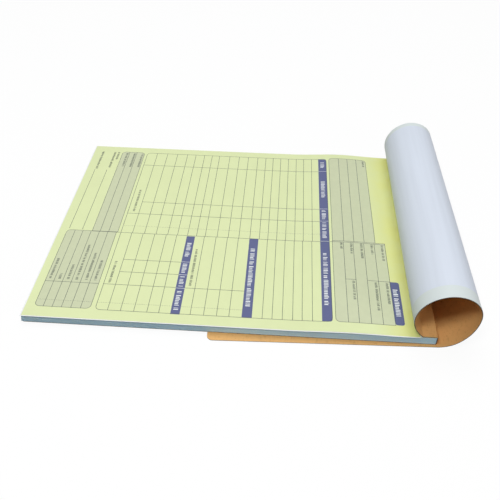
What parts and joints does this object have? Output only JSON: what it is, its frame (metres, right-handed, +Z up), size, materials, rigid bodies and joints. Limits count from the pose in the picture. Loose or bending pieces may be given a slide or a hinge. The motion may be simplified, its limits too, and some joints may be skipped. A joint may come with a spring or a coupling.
{
  "type": "invoice book",
  "caption": "Stitched pad of tear-off duplicate forms in a wrap-around board cover, its front flap rolled back over the head and tucked under the pad.",
  "frame": {"origin": "middle of the footprint of the whole book, on the surface that it lies on", "axes": "+X from the foot of the page to its head, +Y from the near edge to the far edge, +Z up"},
  "size_m": [0.3152, 0.2228, 0.0491],
  "materials": {
    "cover_board": "matte kraft board, white on its inner face",
    "canary_paper": "uncoated canary yellow paper",
    "white_paper": "uncoated white paper",
    "pad_paper": "cut edges of white and canary leaves",
    "stitch_wire": "bright drawn wire"
  },
  "bodies": {
    "pad": {"cover_back": "cover_board", "canary_01_stub": "canary_paper", "white_01_stub": "white_paper", "canary_02_stub": "canary_paper", "white_02_stub": "white_paper", "canary_03_stub": "canary_paper", "white_03_stub": "white_paper", "sets_04_to_08": "pad_paper", "sets_09_to_13": "pad_paper", "sets_14_to_18": "pad_paper", "sets_19_to_23": "pad_paper", "sets_24_to_28": "pad_paper", "sets_29_to_33": "pad_paper", "sets_34_to_38": "pad_paper", "sets_39_to_43": "pad_paper", "sets_44_to_48": "pad_paper", "sets_49_to_50": "pad_paper", "stitch_near": "stitch_wire", "stitch_middle": "stitch_wire", "stitch_far": "stitch_wire"},
    "flap_strip_01": {"flap_strip_01": "cover_board"},
    "flap_strip_02": {"flap_strip_02": "cover_board"},
    "flap_strip_03": {"flap_strip_03": "cover_board"},
    "flap_strip_04": {"flap_strip_04": "cover_board"},
    "flap_strip_05": {"flap_strip_05": "cover_board"},
    "flap_strip_06": {"flap_strip_06": "cover_board"},
    "flap_strip_07": {"flap_strip_07": "cover_board"},
    "flap_strip_08": {"flap_strip_08": "cover_board"},
    "flap_tail": {"flap_tail": "cover_board"},
    "canary_03": {"canary_03": "canary_paper"},
    "white_03": {"white_03": "white_paper"},
    "canary_02": {"canary_02": "canary_paper"},
    "white_02": {"white_02": "white_paper"},
    "canary_01": {"canary_01": "canary_paper"}
  },
  "joints": [
    {"name": "cover_turn", "type": "hinge", "parent": "pad", "child": "flap_strip_01", "pos_m": [0.12343, -0.10446, 0.00788], "axis": [0, 1, 0], "range_deg": [-54.08, 0]},
    {"name": "cover_curl_01", "type": "hinge", "parent": "flap_strip_01", "child": "flap_strip_02", "pos_m": [0.11561, -0.10446, 0.01937], "axis": [0.002, 1, -0.0029], "range_deg": [-34.49, 0]},
    {"name": "cover_curl_02", "type": "hinge", "parent": "flap_strip_02", "child": "flap_strip_03", "pos_m": [0.11593, -0.10446, 0.03336], "axis": [0.0019, 1, -0.0065], "range_deg": [-34.38, 0]},
    {"name": "cover_curl_03", "type": "hinge", "parent": "flap_strip_03", "child": "flap_strip_04", "pos_m": [0.12436, -0.10446, 0.04465], "axis": [-0.0002, 1, -0.0094], "range_deg": [-34.43, 0]},
    {"name": "cover_curl_04", "type": "hinge", "parent": "flap_strip_04", "child": "flap_strip_05", "pos_m": [0.13777, -0.10446, 0.04894], "axis": [-0.0037, 0.9999, -0.0105], "range_deg": [-39.04, 0]},
    {"name": "cover_curl_05", "type": "hinge", "parent": "flap_strip_05", "child": "flap_strip_06", "pos_m": [0.15163, -0.10446, 0.0432], "axis": [-0.0066, 0.9999, -0.0092], "range_deg": [-43.65, 0]},
    {"name": "cover_curl_06", "type": "hinge", "parent": "flap_strip_06", "child": "flap_strip_07", "pos_m": [0.15737, -0.10446, 0.02934], "axis": [-0.0079, 0.9999, -0.0063], "range_deg": [-42.71, 0]},
    {"name": "cover_curl_07", "type": "hinge", "parent": "flap_strip_07", "child": "flap_strip_08", "pos_m": [0.14821, -0.10446, 0.00612], "axis": [-0.0059, 1, -0.0013], "range_deg": [-44.59, 0]},
    {"name": "cover_curl_08", "type": "hinge", "parent": "flap_strip_08", "child": "flap_tail", "pos_m": [0.13403, -0.10446, 0.00025], "axis": [-0.0029, 1, 0], "range_deg": [-21.83, 0]},
    {"name": "canary_03_lift", "type": "hinge", "parent": "pad", "child": "canary_03", "pos_m": [0.12183, -0.10446, 0.00726], "axis": [0, 1, 0], "range_deg": [0, 4]},
    {"name": "white_03_lift", "type": "hinge", "parent": "canary_03", "child": "white_03", "pos_m": [0.12183, -0.10446, 0.00733], "axis": [0, 1, 0], "range_deg": [0, 5]},
    {"name": "canary_02_lift", "type": "hinge", "parent": "white_03", "child": "canary_02", "pos_m": [0.12183, -0.10446, 0.00739], "axis": [0, 1, 0], "range_deg": [0, 6]},
    {"name": "white_02_lift", "type": "hinge", "parent": "canary_02", "child": "white_02", "pos_m": [0.12183, -0.10446, 0.00746], "axis": [0, 1, 0], "range_deg": [0, 9]},
    {"name": "canary_01_lift", "type": "hinge", "parent": "white_02", "child": "canary_01", "pos_m": [0.12183, -0.10446, 0.00752], "axis": [0, 1, 0], "range_deg": [0, 32]}
  ],
  "couplings": [
    {"joint": "cover_curl_01", "follows": "cover_turn", "ratio": 0.63782},
    {"joint": "cover_curl_02", "follows": "cover_turn", "ratio": 0.63573},
    {"joint": "cover_curl_03", "follows": "cover_turn", "ratio": 0.63676},
    {"joint": "cover_curl_04", "follows": "cover_turn", "ratio": 0.72194},
    {"joint": "cover_curl_05", "follows": "cover_turn", "ratio": 0.80713},
    {"joint": "cover_curl_06", "follows": "cover_turn", "ratio": 0.78987},
    {"joint": "cover_curl_07", "follows": "cover_turn", "ratio": 0.82447},
    {"joint": "cover_curl_08", "follows": "cover_turn", "ratio": 0.40359}
  ]
}
